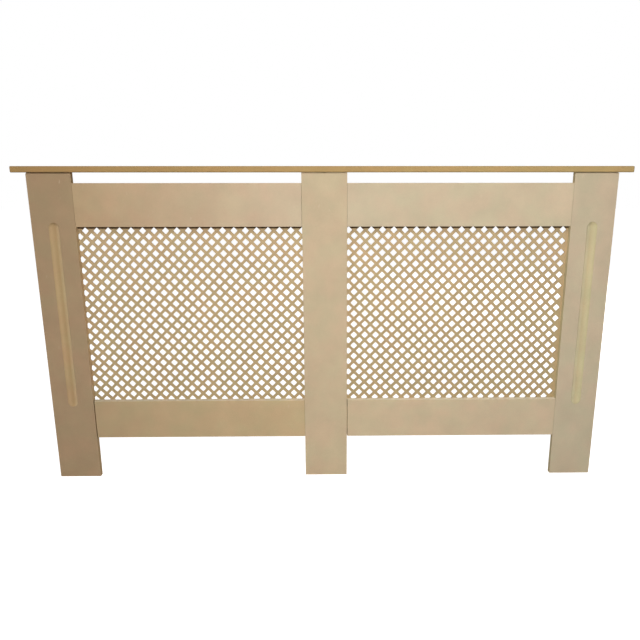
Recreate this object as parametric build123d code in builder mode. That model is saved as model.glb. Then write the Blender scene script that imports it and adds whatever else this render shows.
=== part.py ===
from build123d import *
from math import ceil, floor, sqrt
import os

os.makedirs("parts", exist_ok=True)

# Radiator cover cabinet in bare fibreboard: a shelf on a three-stile front frame with two
# perforated grilles, and a side panel at each end. Millimetres. X runs along the wall, Y from
# the front to the wall, Z up. The origin is on the floor, midway along and midway deep.

# Overall size, set by the shelf and the floor
overall_width = 1520.0
overall_depth = 190.0
overall_height = 815.0

# Boards
shelf_thickness = 15.0
frame_thickness = 15.0
side_thickness = 15.0

# Shelf
shelf_front_overhang = 5.0
shelf_end_overhang = 35.5
shelf_corner_radius = 4.0
shelf_edge_radius = 2.5

# Front frame
end_stile_width = 108.5
centre_stile_width = 112.5
foot_height = 113.0
bottom_rail_height = 103.0
top_rail_height = 105.0
vent_gap = 25.0
open_joint = 0.8

# Stopped flute down the middle of each end stile, run a little past the bay's top and bottom
flute_width = 26.0
flute_depth = 6.0
flute_past_bay_bottom = 15.0
flute_past_bay_top = 11.0

# Grilles: square holes standing on a corner, where slots in a front web cross slots in a back one
sheet_thickness = 3.0
web_gap = 0.1
hole_pitch = 20.17
hole_side = 12.6

# The sheet and its holes both run on behind the frame, but the holes stop a little short of the
# bay along its top, and at the right sheet's outer end
sheet_lap = 30.0
field_lap = 8.0
bare_top = 5.4
bare_end = 8.5

# One hole's centre in each bay, from the bay's middle
left_hole_across = 8.5
left_hole_up = 2.4
right_hole_across = -4.9
right_hole_up = 3.8

# Side panels, cut back at the foot for a skirting board
skirting_height = 110.0
skirting_depth = 20.0

# Biscuits that join the rails to the stiles, and the saw slots that hold them
biscuit_length = 56.0
biscuit_width = 23.0
biscuit_thickness = 4.0
biscuit_fit = 0.1
biscuit_end_room = 1.0
biscuit_saw_radius = 50.0

# Battens glued into the corners between the end stiles and the side panels
batten_size = 18.0
batten_end_gap = 80.0

# Steel angle brackets
bracket_leg = 30.0
bracket_width = 20.0
bracket_thickness = 2.0
bracket_bend_radius = 3.0
bracket_hole_radius = 2.5
bracket_hole_from_corner = 20.0

# Wood screws that hold the brackets
screw_radius = 2.0
screw_length = 12.0
screw_tip_length = 3.0
screw_head_radius = 4.0
screw_head_height = 2.2
screw_fit = 0.1
screw_end_room = 1.0

# Staples that hold the grilles, driven in from behind around each bay
staple_crown = 12.0
staple_leg = 10.0
staple_wire = 1.2
staple_inset = 23.0
staples_along = 5
staples_up = 4

# Levels, floor upwards
shelf_underside = overall_height - shelf_thickness
top_rail_top = shelf_underside - vent_gap
top_rail_bottom = top_rail_top - top_rail_height
bottom_rail_top = foot_height + bottom_rail_height
flute_top = top_rail_bottom + flute_past_bay_top
flute_bottom = bottom_rail_top - flute_past_bay_bottom
wall_bracket_height = (top_rail_bottom + top_rail_top) / 2

# Depths, front to wall
shelf_front = -overall_depth / 2
wall_face = overall_depth / 2
frame_front = shelf_front + shelf_front_overhang
frame_back = frame_front + frame_thickness
frame_middle = frame_front + frame_thickness / 2
sheet_back = frame_back + sheet_thickness
side_middle = (frame_back + wall_face) / 2

# Distances from the centre line to each upright edge
body_half_width = overall_width / 2 - shelf_end_overhang
end_stile_inner = body_half_width - end_stile_width
end_stile_middle = body_half_width - end_stile_width / 2
centre_stile_half = centre_stile_width / 2
side_inner = body_half_width - side_thickness

# Holes and slots that take the fixings
pilot_radius = screw_radius + screw_fit
pilot_depth = screw_length - bracket_thickness + screw_end_room
biscuit_slot_depth = biscuit_width / 2 + biscuit_end_room
biscuit_slot_thickness = biscuit_thickness + 2 * biscuit_fit

SIDES = {"left": -1, "right": 1}

# Each bay of the front frame, from its left joint to its right one
BAYS = {
    "left": (-end_stile_inner, -centre_stile_half),
    "right": (centre_stile_half, end_stile_inner),
}

# Each kind of rail, from its bottom edge to its top one
RAILS = {
    "bottom_rail": (foot_height, bottom_rail_top),
    "top_rail": (top_rail_bottom, top_rail_top),
}

joint_levels = [(low + high) / 2 for low, high in RAILS.values()]


def write_part(part, name):
    """Label a finished piece and write it under its own name."""
    part.label = name
    export_step(part, f"parts/{name}.step")


def evenly(low, high, count):
    """Places from low to high, both ends included."""
    return [low + (high - low) * step / (count - 1) for step in range(count)]


def drill(places, radius, depth):
    """Round holes sunk from planes whose normals point out of the material."""
    with Locations(*places):
        Cylinder(
            radius,
            depth,
            align=(Align.CENTER, Align.CENTER, Align.MAX),
            mode=Mode.SUBTRACT,
        )


def cut_biscuit_slots(edge_x, into, levels):
    """Saw slots in an upright edge; into is the sign of X inside the wood."""
    saw_x = edge_x - into * (biscuit_saw_radius - biscuit_slot_depth)
    saw_places = [Plane(origin=(saw_x, frame_middle, z), z_dir=(0, 1, 0)) for z in levels]
    with Locations(*saw_places):
        Cylinder(biscuit_saw_radius, biscuit_slot_thickness, mode=Mode.SUBTRACT)


# ------------------------------------------------------------------ places of the brackets


def corner(origin, first, second):
    """Plane in the corner of two surfaces, its X and Y running along the first and second."""
    return Plane(origin=origin, x_dir=first, z_dir=Vector(first).cross(Vector(second)))


def first_seat(place):
    """Plane on a bracket corner's first surface at the screw hole, facing off the surface."""
    origin = place.from_local_coords((bracket_hole_from_corner, 0, 0))
    return Plane(origin=origin, z_dir=place.y_dir)


def second_seat(place):
    """Plane on a bracket corner's second surface at the screw hole, facing off the surface."""
    origin = place.from_local_coords((0, bracket_hole_from_corner, 0))
    return Plane(origin=origin, z_dir=place.x_dir)


# Shelf brackets: first leg under the shelf, second leg down the upright
side_shelf_corners = {
    name: corner((side * side_inner, side_middle, shelf_underside), (-side, 0, 0), (0, 0, -1))
    for name, side in SIDES.items()
}
centre_shelf_corner = corner((0, frame_back, shelf_underside), (0, 1, 0), (0, 0, -1))
shelf_corners = [*side_shelf_corners.values(), centre_shelf_corner]

# Wall brackets: first leg on the wall, second leg along the side panel
wall_corners = {
    name: corner((side * side_inner, wall_face, wall_bracket_height), (-side, 0, 0), (0, -1, 0))
    for name, side in SIDES.items()
}

# ------------------------------------------------------------------ shelf

with BuildPart() as shelf:
    with BuildSketch(Plane.XY.offset(shelf_underside)):
        Rectangle(overall_width, overall_depth)
    extrude(amount=shelf_thickness)
    front_corners = shelf.edges().filter_by(Axis.Z).group_by(Axis.Y)[0]
    fillet(front_corners, shelf_corner_radius)
    back_edges = shelf.faces().sort_by(Axis.Y)[-1].edges()
    fillet(shelf.faces().filter_by(Axis.Z).edges() - back_edges, shelf_edge_radius)
    drill([first_seat(place) for place in shelf_corners], pilot_radius, pilot_depth)
write_part(shelf.part, "shelf")

# ------------------------------------------------------------------ stiles


def cut_flute(middle_x):
    """Stopped flute: a ball-nosed cutter run down the face, its centre proud of the wood."""
    half_width = flute_width / 2
    cutter_radius = (half_width**2 + flute_depth**2) / (2 * flute_depth)
    axis_y = frame_front + flute_depth - cutter_radius
    floor_y = frame_front + flute_depth
    top_centre = flute_top - half_width
    bottom_centre = flute_bottom + half_width
    with BuildSketch(Plane.YZ.offset(middle_x)) as cutter_outline:
        with BuildLine():
            Line((axis_y, bottom_centre - cutter_radius), (axis_y, top_centre + cutter_radius))
            CenterArc((axis_y, top_centre), cutter_radius, 90, -90)
            Line((floor_y, top_centre), (floor_y, bottom_centre))
            CenterArc((axis_y, bottom_centre), cutter_radius, 0, -90)
        make_face()
    cutter_axis = Axis((middle_x, axis_y, 0), (0, 0, 1))
    revolve(cutter_outline.sketch, axis=cutter_axis, mode=Mode.SUBTRACT)


for name, side in SIDES.items():
    with BuildPart() as end_stile:
        with BuildSketch(Plane.XY):
            with Locations((side * end_stile_middle, frame_middle)):
                Rectangle(end_stile_width, frame_thickness)
        extrude(amount=shelf_underside)
        cut_flute(side * end_stile_middle)
        cut_biscuit_slots(side * end_stile_inner, side, joint_levels)
    write_part(end_stile.part, f"{name}_stile")

with BuildPart() as centre_stile:
    with BuildSketch(Plane.XY):
        with Locations((0, frame_middle)):
            Rectangle(centre_stile_width, frame_thickness)
    extrude(amount=shelf_underside)
    for side in SIDES.values():
        cut_biscuit_slots(side * centre_stile_half, -side, joint_levels)
    drill([second_seat(centre_shelf_corner)], pilot_radius, pilot_depth)
write_part(centre_stile.part, "centre_stile")

# ------------------------------------------------------------------ rails

# The left bottom rail stands a little off its end stile
joint_gaps = {"bottom_rail_left": open_joint}

for kind, (low, high) in RAILS.items():
    for bay, (start, end) in BAYS.items():
        name = f"{kind}_{bay}"
        rail_start = start + joint_gaps.get(name, 0)
        with BuildPart() as rail:
            with BuildSketch(Plane.XY.offset(low)):
                with Locations(((rail_start + end) / 2, frame_middle)):
                    Rectangle(end - rail_start, frame_thickness)
            extrude(amount=high - low)
            cut_biscuit_slots(start, 1, [(low + high) / 2])
            cut_biscuit_slots(end, -1, [(low + high) / 2])
        write_part(rail.part, name)

# ------------------------------------------------------------------ biscuits

with BuildPart() as biscuit:
    with BuildSketch(Plane.XZ):
        arc_offset = biscuit_saw_radius - biscuit_width / 2
        with Locations((-arc_offset, 0)):
            Circle(biscuit_saw_radius)
        with Locations((arc_offset, 0)):
            Circle(biscuit_saw_radius, mode=Mode.INTERSECT)
        Rectangle(biscuit_width, biscuit_length, mode=Mode.INTERSECT)
    extrude(amount=biscuit_thickness / 2, both=True)

joint_edges = [x for bay in BAYS.values() for x in bay]
biscuit_places = [(x, frame_middle, z) for x in joint_edges for z in joint_levels]

with BuildPart() as rail_biscuits:
    with Locations(*biscuit_places):
        add(biscuit.part)
write_part(rail_biscuits.part, "rail_biscuits")

# ------------------------------------------------------------------ grilles


def slot_row(field_width, field_height, across, up, angle):
    """Parallel slots at an angle, kept in a field; one runs through the hole across and up."""
    step = hole_pitch * sqrt(2)
    reach = (field_width + field_height) / 2
    level_x = across - up * (1 if angle > 0 else -1)
    first = ceil((-reach - level_x) / step)
    last = floor((reach - level_x) / step)
    with BuildSketch(mode=Mode.PRIVATE) as row:
        with Locations(*[(level_x + step * index, 0) for index in range(first, last + 1)]):
            Rectangle(2 * reach, hole_side, rotation=angle)
        Rectangle(field_width, field_height, mode=Mode.INTERSECT)
    return row.sketch


def grille_part(bay, right_margin, across, up):
    """The sheet behind a bay; one of its holes lies across and up from the bay's middle."""
    start, end = bay
    bay_height = top_rail_bottom - bottom_rail_top
    bay_middle_x = (start + end) / 2
    bay_middle_z = (bottom_rail_top + top_rail_bottom) / 2
    field_start = start - field_lap
    field_end = end + right_margin
    field_middle_x = (field_start + field_end) / 2
    field_width = field_end - field_start
    field_bottom = bottom_rail_top - field_lap
    field_top = top_rail_bottom - bare_top
    field_middle_z = (field_bottom + field_top) / 2
    field_height = field_top - field_bottom
    hole_across = bay_middle_x + across - field_middle_x
    hole_up = bay_middle_z + up - field_middle_z
    web = (sheet_thickness - web_gap) / 2
    field_middle = (field_middle_x, sheet_back, field_middle_z)
    field_plane = Plane(origin=field_middle, x_dir=(1, 0, 0), z_dir=(0, -1, 0))
    with BuildPart() as grille:
        with BuildSketch(Plane.XZ.offset(-sheet_back)):
            with Locations((bay_middle_x, bay_middle_z)):
                Rectangle(end - start + 2 * sheet_lap, bay_height + 2 * sheet_lap)
        extrude(amount=sheet_thickness)
        with BuildSketch(field_plane):
            add(slot_row(field_width, field_height, hole_across, hole_up, -45))
        extrude(amount=web, mode=Mode.SUBTRACT)
        with BuildSketch(field_plane.offset(web)):
            Rectangle(field_width, field_height)
        extrude(amount=web_gap, mode=Mode.SUBTRACT)
        with BuildSketch(field_plane.offset(web + web_gap)):
            add(slot_row(field_width, field_height, hole_across, hole_up, 45))
        extrude(amount=web, mode=Mode.SUBTRACT)
    return grille.part


left_grille = grille_part(BAYS["left"], field_lap, left_hole_across, left_hole_up)
right_grille = grille_part(BAYS["right"], -bare_end, right_hole_across, right_hole_up)
write_part(left_grille, "grille_left")
write_part(right_grille, "grille_right")

# ------------------------------------------------------------------ grille staples

staple_depth = staple_wire + staple_leg
staple_middle_y = sheet_back + staple_wire - staple_depth / 2
staple_hollow = staple_crown - 2 * staple_wire

for name, (start, end) in BAYS.items():
    columns = evenly(start + staple_inset, end - staple_inset, staples_along)
    rows = evenly(bottom_rail_top + staple_inset, top_rail_bottom - staple_inset, staples_up)
    with BuildPart() as staples:
        for level in (bottom_rail_top - staple_inset, top_rail_bottom + staple_inset):
            with BuildSketch(Plane.XY.offset(level)):
                with Locations(*[(x, staple_middle_y) for x in columns]):
                    Rectangle(staple_crown, staple_depth)
                with Locations(*[(x, staple_middle_y - staple_wire) for x in columns]):
                    Rectangle(staple_hollow, staple_depth, mode=Mode.SUBTRACT)
            extrude(amount=staple_wire / 2, both=True)
        for edge_x in (start - staple_inset, end + staple_inset):
            with BuildSketch(Plane.YZ.offset(edge_x)):
                with Locations(*[(staple_middle_y, z) for z in rows]):
                    Rectangle(staple_depth, staple_crown)
                with Locations(*[(staple_middle_y - staple_wire, z) for z in rows]):
                    Rectangle(staple_depth, staple_hollow, mode=Mode.SUBTRACT)
            extrude(amount=staple_wire / 2, both=True)
    write_part(staples.part, f"grille_staples_{name}")

# ------------------------------------------------------------------ side panels and battens

for name, side in SIDES.items():
    with BuildPart() as side_panel:
        with BuildSketch(Plane.YZ.offset(side * (side_inner + side_thickness / 2))):
            with BuildLine():
                Polyline(
                    (frame_back, 0),
                    (wall_face - skirting_depth, 0),
                    (wall_face - skirting_depth, skirting_height),
                    (wall_face, skirting_height),
                    (wall_face, shelf_underside),
                    (frame_back, shelf_underside),
                    close=True,
                )
            make_face()
        extrude(amount=side_thickness / 2, both=True)
        bracket_seats = [second_seat(side_shelf_corners[name]), second_seat(wall_corners[name])]
        drill(bracket_seats, pilot_radius, pilot_depth)
    write_part(side_panel.part, f"side_panel_{name}")

    with BuildPart() as batten:
        with BuildSketch(Plane.XY.offset(batten_end_gap)):
            with Locations((side * (side_inner - batten_size / 2), frame_back + batten_size / 2)):
                Rectangle(batten_size, batten_size)
        extrude(amount=shelf_underside - 2 * batten_end_gap)
    write_part(batten.part, f"corner_batten_{name}")

# ------------------------------------------------------------------ brackets


def bracket_part(place):
    """A bent steel angle in a corner, with a round hole in each leg."""
    with BuildPart() as bracket:
        with BuildSketch(place):
            with BuildLine():
                Polyline(
                    (0, 0),
                    (bracket_leg, 0),
                    (bracket_leg, bracket_thickness),
                    (bracket_thickness, bracket_thickness),
                    (bracket_thickness, bracket_leg),
                    (0, bracket_leg),
                    close=True,
                )
            make_face()
        extrude(amount=bracket_width / 2, both=True)
        bend = bracket.edges().filter_by(lambda edge: edge.center() == place.origin)
        fillet(bend, bracket_bend_radius)
        seats = [first_seat(place), second_seat(place)]
        tops = [seat.offset(bracket_thickness) for seat in seats]
        drill(tops, bracket_hole_radius, bracket_thickness)
    return bracket.part


bracket_groups = {"shelf_brackets": shelf_corners, "wall_brackets": [*wall_corners.values()]}
for name, places in bracket_groups.items():
    with BuildPart() as brackets:
        add([bracket_part(place) for place in places])
    write_part(brackets.part, name)

# ------------------------------------------------------------------ screws

# One screw along Z, the underside of its head at the origin
with BuildPart() as screw:
    with BuildSketch(Plane.XZ):
        with BuildLine():
            Polyline(
                (0, screw_head_height),
                (screw_head_radius, screw_head_height),
                (screw_head_radius, 0),
                (screw_radius, 0),
                (screw_radius, screw_tip_length - screw_length),
                (0, -screw_length),
                close=True,
            )
        make_face()
    revolve(axis=Axis.Z)

# The screw through each wall bracket's first leg goes into the wall, and isn't part of the cabinet
screw_groups = {
    "shelf_bracket_screws": [
        seat(place) for place in shelf_corners for seat in (first_seat, second_seat)
    ],
    "wall_bracket_screws": [second_seat(place) for place in wall_corners.values()],
}
for name, seats in screw_groups.items():
    with BuildPart() as screws:
        with Locations(*[seat.offset(bracket_thickness) for seat in seats]):
            add(screw.part)
    write_part(screws.part, name)
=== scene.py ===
import logging
import math
from dataclasses import dataclass, field
from enum import Enum
from functools import lru_cache
from typing import Iterable, Sequence

import bmesh
import bpy
from mathutils import Euler, Matrix, Vector


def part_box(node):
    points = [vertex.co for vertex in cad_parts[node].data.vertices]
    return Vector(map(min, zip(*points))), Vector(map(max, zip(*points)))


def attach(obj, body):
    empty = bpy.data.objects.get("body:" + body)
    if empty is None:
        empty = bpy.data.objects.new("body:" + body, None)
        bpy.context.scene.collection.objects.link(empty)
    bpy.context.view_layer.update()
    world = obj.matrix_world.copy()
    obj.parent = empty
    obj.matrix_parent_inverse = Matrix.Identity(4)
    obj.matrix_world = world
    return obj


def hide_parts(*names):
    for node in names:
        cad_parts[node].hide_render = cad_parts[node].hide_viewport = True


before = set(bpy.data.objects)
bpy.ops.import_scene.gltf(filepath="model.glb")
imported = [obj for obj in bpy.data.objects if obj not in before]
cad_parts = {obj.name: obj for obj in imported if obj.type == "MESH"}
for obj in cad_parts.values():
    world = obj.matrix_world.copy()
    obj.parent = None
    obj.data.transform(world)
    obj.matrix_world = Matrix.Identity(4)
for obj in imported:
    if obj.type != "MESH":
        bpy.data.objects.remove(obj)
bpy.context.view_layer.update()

log = logging.getLogger("radiator_cover")

Colour = tuple[float, float, float, float]
Point2 = tuple[float, float]
Point3 = tuple[float, float, float]
Seat = tuple[Vector, Vector]
Body = bpy.types.Object
Material = bpy.types.Material
Node = bpy.types.Node
Socket = bpy.types.NodeSocket
Solid = bmesh.types.BMesh

MM = 0.001
QUARTER_TURN = math.pi / 2
NODE_STEP = 180  # between neighbouring nodes as laid out
ROOT_BODY = "root"
PICTURE_SIDE_PX = 640

# An edge whose faces meet at less than the first angle is shaded smooth, and one whose faces
# meet at more than the second is eased, in radians
SMOOTH_BELOW = math.radians(35.0)
EASED_ABOVE = 1.2
WELD = 0.001 * MM


class Slot(Enum):
    """The record's material slots that the pieces take."""

    RAW_BOARD = "raw_board"
    GRILLE_BOARD = "grille_board"
    ZINC_STEEL = "zinc_steel"


class Axis(Enum):
    """A way along or across a board."""

    X = (1.0, 0.0, 0.0)
    Y = (0.0, 1.0, 0.0)
    Z = (0.0, 0.0, 1.0)

    def along(self, point: Vector) -> float:
        """A point's place along this axis."""
        return point.dot(Vector(self.value))


class Hand(Enum):
    """Left and right as seen from the front."""

    LEFT = -1
    RIGHT = 1

    @property
    def word(self) -> str:
        """The side's name inside a node's name."""
        return self.name.lower()

    def bay(self) -> tuple[float, float, float, float]:
        """The opening on this side, as its left, right, bottom and top."""
        low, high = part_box(f"top_rail_{self.word}")
        return (low.x, high.x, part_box(f"bottom_rail_{self.word}")[1].z, low.z)

    def inner(self, node: str) -> float:
        """Where a node on this side ends towards the cabinet's middle."""
        low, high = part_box(node)
        return high.x if self is Hand.LEFT else low.x


def srgb(*seen: int) -> Colour:
    """Makes a colour linear.

    Args:
        seen: Red, green and blue as seen, 0 to 255.

    Returns:
        The linear colour, opaque.
    """
    parts = [value / 255 for value in seen]
    red, green, blue = (
        part / 12.92 if part <= 0.04045 else ((part + 0.055) / 1.055) ** 2.4 for part in parts
    )
    return (red, green, blue, 1.0)


def tint(red: float, green: float | None = None, blue: float | None = None) -> Colour:
    """What a colour is multiplied by; the first value alone goes for all three."""
    return (red, red if green is None else green, red if blue is None else blue, 1.0)


def shade(colour: Colour, factor: float) -> Colour:
    """A colour made darker or lighter, its opacity kept."""
    return (colour[0] * factor, colour[1] * factor, colour[2] * factor, colour[3])


EVEN = tint(1.0)
WARMER, COOLER = tint(1.025, 0.988, 0.985), tint(0.975, 1.008, 0.985)
# Pale dust and painted light from above, on edges that look up
DUST_AND_TOP_LIGHT = srgb(236, 222, 194)
SPECK = srgb(88, 62, 42)
SCRATCH = srgb(228, 212, 188)


# ---------------------------------------------------------------- node helpers


class NodeGraph:
    """Adds nodes to one tree and wires them, laid out in reading order."""

    def __init__(self, tree: bpy.types.NodeTree) -> None:
        """Starts on an empty tree."""
        self.tree = tree
        self.tree.nodes.clear()

    def add(self, kind: str, *values: object, **settings: object) -> Node:
        """Adds a node, sets its properties and fills its first inputs.

        Args:
            kind: The node's type name.
            values: Values or sockets for the inputs in order; None leaves one as it is.
            settings: Properties of the node.

        Returns:
            The new node.
        """
        node = self.tree.nodes.new(kind)
        node.location = (len(self.tree.nodes) * NODE_STEP, 0)
        for name, value in settings.items():
            setattr(node, name, value)
        for socket, value in zip(node.inputs, values):
            self.feed(socket, value)
        return node

    def feed(self, socket: Socket, value: object) -> None:
        """Links a socket to an output, or writes a constant to it.

        Args:
            socket: The input to fill.
            value: An output socket, a node (its first output), a constant or None.
        """
        if value is None:
            return
        if isinstance(value, Node):
            value = value.outputs[0]
        if isinstance(value, Socket):
            self.tree.links.new(value, socket)
        else:
            socket.default_value = value

    def fill(self, node: Node, **values: object) -> Node:
        """Fills inputs by name, with a space for each underscore.

        Args:
            node: The node to fill.
            values: Constants or sockets by input name.

        Returns:
            The same node.
        """
        for name, value in values.items():
            wanted = name.replace("_", " ")
            socket = next(one for one in node.inputs if one.name == wanted and one.enabled)
            self.feed(socket, value)
        return node

    def maths(self, operation: str, *values: object) -> Socket:
        """The result of a Math node."""
        return self.add("ShaderNodeMath", *values, operation=operation).outputs[0]

    def vector(self, operation: str, *values: object) -> Node:
        """A Vector Math node."""
        return self.add("ShaderNodeVectorMath", *values, operation=operation)

    def parts(self, vector: object) -> Sequence[Socket]:
        """A vector's three parts."""
        return self.add("ShaderNodeSeparateXYZ", vector).outputs

    def remap(
        self, value: object, low: object, high: object, to_low: float = 0.0, to_high: float = 1.0
    ) -> Socket:
        """A value carried from one range to another and kept inside it.

        Args:
            value: The value's socket.
            low: Start of its range, or its socket.
            high: End of its range, or its socket.
            to_low: What the start becomes.
            to_high: What the end becomes.

        Returns:
            The output socket.
        """
        return self.add("ShaderNodeMapRange", value, low, high, to_low, to_high).outputs[0]

    def noise(self, place: object, scale: float, detail: float) -> Socket:
        """A noise's value over a place."""
        return self.add("ShaderNodeTexNoise", place, None, scale, detail).outputs[0]

    def blend(self, factor: object, first: object, second: object) -> Socket:
        """A blend of two colours.

        Args:
            factor: 0 for the first, 1 for the second.
            first: Colour or socket.
            second: Colour or socket.

        Returns:
            The blended colour's socket.
        """
        node = self.add("ShaderNodeMix", data_type="RGBA")
        for index, value in zip((0, 6, 7), (factor, first, second)):
            self.feed(node.inputs[index], value)
        return node.outputs[2]


class MaterialGraph(NodeGraph):
    """The nodes of one new material."""

    def __init__(self, name: str) -> None:
        """Makes the material under that name."""
        self.made = bpy.data.materials.new(name)
        self.made.use_nodes = True
        super().__init__(self.made.node_tree)

    def group(self, tree: bpy.types.NodeTree, **values: object) -> Node:
        """A node group with its inputs filled by name."""
        return self.fill(self.add("ShaderNodeGroup", node_tree=tree), **values)

    def coated(self, strength: float, depth: float, swell: object, **inputs: object) -> Material:
        """Ends the nodes in a Principled shader over a bump.

        Args:
            strength: Strength of the bump.
            depth: Depth of the bump in metres.
            swell: Height of the bump.
            inputs: The shader's other inputs by name.

        Returns:
            The material.
        """
        bump = self.fill(
            self.add("ShaderNodeBump"), Strength=strength, Distance=depth, Height=swell
        )
        shader = self.fill(self.add("ShaderNodeBsdfPrincipled"), Normal=bump, **inputs)
        self.add("ShaderNodeOutputMaterial", shader)
        return self.made


class NodeGroup(NodeGraph):
    """A node tree with named inputs and outputs."""

    def __init__(self, name: str, kind: str = "ShaderNodeTree") -> None:
        """Makes the empty tree under that name."""
        super().__init__(bpy.data.node_groups.new(name, kind))
        self.ins = self.tree.nodes.new("NodeGroupInput")
        self.outs = self.tree.nodes.new("NodeGroupOutput")

    def socket(self, name: str, way: str, kind: str) -> bpy.types.NodeTreeInterfaceSocket:
        """A new named input or output."""
        return self.tree.interface.new_socket(name, in_out=way, socket_type=f"NodeSocket{kind}")

    def takes(self, name: str, kind: str) -> Socket:
        """A new named input, as seen from inside."""
        self.socket(name, "INPUT", kind)
        return self.ins.outputs[name]

    def gives(self, **values: object) -> None:
        """New number outputs, each fed from inside.

        Args:
            values: What feeds each, by name.
        """
        for name, value in values.items():
            self.socket(name, "OUTPUT", "Float")
            self.feed(self.outs.inputs[name], value)

    def drawn_out(self, place: object, turn: Point3, stretch: Point3, scale: float) -> Socket:
        """A noise in long strokes.

        Args:
            place: The place that it is over.
            turn: How the strokes are turned, in radians.
            stretch: How close they lie along each axis once turned.
            scale: How close they lie in all.

        Returns:
            The noise's value.
        """
        turned = self.add("ShaderNodeVectorRotate", place, rotation_type="EULER_XYZ")
        self.fill(turned, Rotation=turn)
        return self.noise(self.vector("MULTIPLY", turned, stretch), scale, 1.0)


@lru_cache(maxsize=None)
def pressed_fibre() -> bpy.types.NodeTree:
    """Pressed fibre: cloudy tone, short lighter and darker hairs, and fine grit.

    Returns:
        The group, with Tone, Hue, Hairs and Grit about a middle of 0.5.
    """
    clouds, hairs, grit = 1 / (60 * MM), 1 / (3 * MM), 1400.0  # how many to the metre
    group = NodeGroup("pressed_fibre")
    place = group.takes("Place", "Vector")
    first, second, third = (
        group.drawn_out(place, turn, (1.0, 7.0, 7.0), hairs)
        for turn in ((0.3, 0.9, 0.4), (1.2, 0.2, 1.1), (0.8, 1.5, 2.3))
    )
    pale = group.maths("MAXIMUM", group.maths("MAXIMUM", first, second), third)
    dark = group.maths("MINIMUM", group.maths("MINIMUM", first, second), third)
    group.gives(
        Tone=group.noise(place, clouds, detail=4.0),
        Hue=group.noise(group.vector("ADD", place, (3.1, 1.7, 2.3)), clouds, detail=2.0),
        Hairs=group.maths("ADD", pale, group.maths("SUBTRACT", dark, 0.5)),
        Grit=group.noise(place, grit, detail=2.0),
    )
    return group.tree


@lru_cache(maxsize=None)
def cut_surface() -> bpy.types.NodeTree:
    """Tells a board's cut edges and flutes from its sanded faces.

    Returns:
        The group, with Cut 1 on a cut surface, and Core 1 midway between the two faces.
    """
    skin = 0.6 * MM  # depth by which a sanded face has gone
    group = NodeGroup("cut_surface")
    place, normal = group.takes("Place", "Vector"), group.takes("Normal", "Vector")
    axis = group.takes("Face Axis", "Vector")
    middle, half = group.takes("Middle", "Float"), group.takes("Half Thickness", "Float")
    facing = group.maths("ABSOLUTE", group.vector("DOT_PRODUCT", normal, axis).outputs["Value"])
    across = group.vector("DOT_PRODUCT", place, axis).outputs["Value"]
    off = group.maths("ABSOLUTE", group.maths("SUBTRACT", across, middle))
    depth = group.maths("SUBTRACT", half, off)
    turned_away = group.remap(facing, 0.85, 0.5)
    below = group.remap(group.maths("DIVIDE", depth, skin), 0.4, 1.0)
    group.gives(
        Cut=group.maths("MAXIMUM", turned_away, below),
        Core=group.remap(group.maths("DIVIDE", off, half), 0.95, 0.5),
    )
    return group.tree


@lru_cache(maxsize=None)
def workshop_marks() -> bpy.types.NodeTree:
    """Scattered dark specks and short pale scratches, as on board straight from the workshop.

    Returns:
        The group, with Specks and Scratches from 0 to 1.
    """
    spacing, size = 30 * MM, 0.6 * MM  # of the specks
    group = NodeGroup("workshop_marks")
    place = group.takes("Place", "Vector")
    cells = group.add("ShaderNodeTexVoronoi", place, None, 1 / spacing)
    distance = group.maths("MULTIPLY", cells.outputs["Distance"], spacing)
    chance = group.add("ShaderNodeSeparateColor", cells.outputs["Color"])
    radius = group.maths("MULTIPLY", size, chance.outputs[0])
    speck = group.remap(distance, radius, group.maths("MULTIPLY", radius, 0.4))
    rare = group.maths("GREATER_THAN", chance.outputs[1], 0.55)
    lines = (
        group.drawn_out(place, (0.2, 0.5, 0.3), (40.0, 420.0, 40.0), 1.0),
        group.drawn_out(place, (0.4, -0.7, 0.9), (420.0, 50.0, 50.0), 1.0),
    )
    scratch = group.remap(group.maths("MAXIMUM", *lines), 0.72, 0.8)
    patch = group.remap(group.noise(place, scale=9.0, detail=1.0), 0.52, 0.66)
    group.gives(
        Specks=group.maths("MULTIPLY", speck, rare),
        Scratches=group.maths("MULTIPLY", scratch, patch),
    )
    return group.tree


# ---------------------------------------------------------------- finishes


@dataclass(frozen=True)
class BoardColours:
    """The colours of one board, with light and shade painted on some of its surfaces."""

    face: Colour
    cut: Colour
    start: Colour = EVEN  # tint at the board's left or lower end, in part painted fall-off of the light
    end: Colour = EVEN  # tint at its right or upper end
    scorch: float = 1.0  # lightness of the side edges, painted shade where they stand under the shelf and in the seams
    clean: Point2 = (0.0, 1.0)  # heights between which they aren't shaded
    scorched_way: float = 0.0  # 1 where only the edge that looks right is, -1 left, 0 both
    dust: float = 0.0  # how far pale dust and painted light from above cover the edges that look up, 0 to 1
    under: float = 0.8  # lightness painted on what looks down, as the shade under it
    looks_left: Colour = EVEN  # tint of the cut flanks that look left, painted light in part and raised fibres in part
    looks_right: Colour = EVEN


@dataclass(frozen=True)
class GluedBand:
    """A band of painted shadow on a sheet's front, from a height upwards."""

    above: float
    colour: Colour


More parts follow.
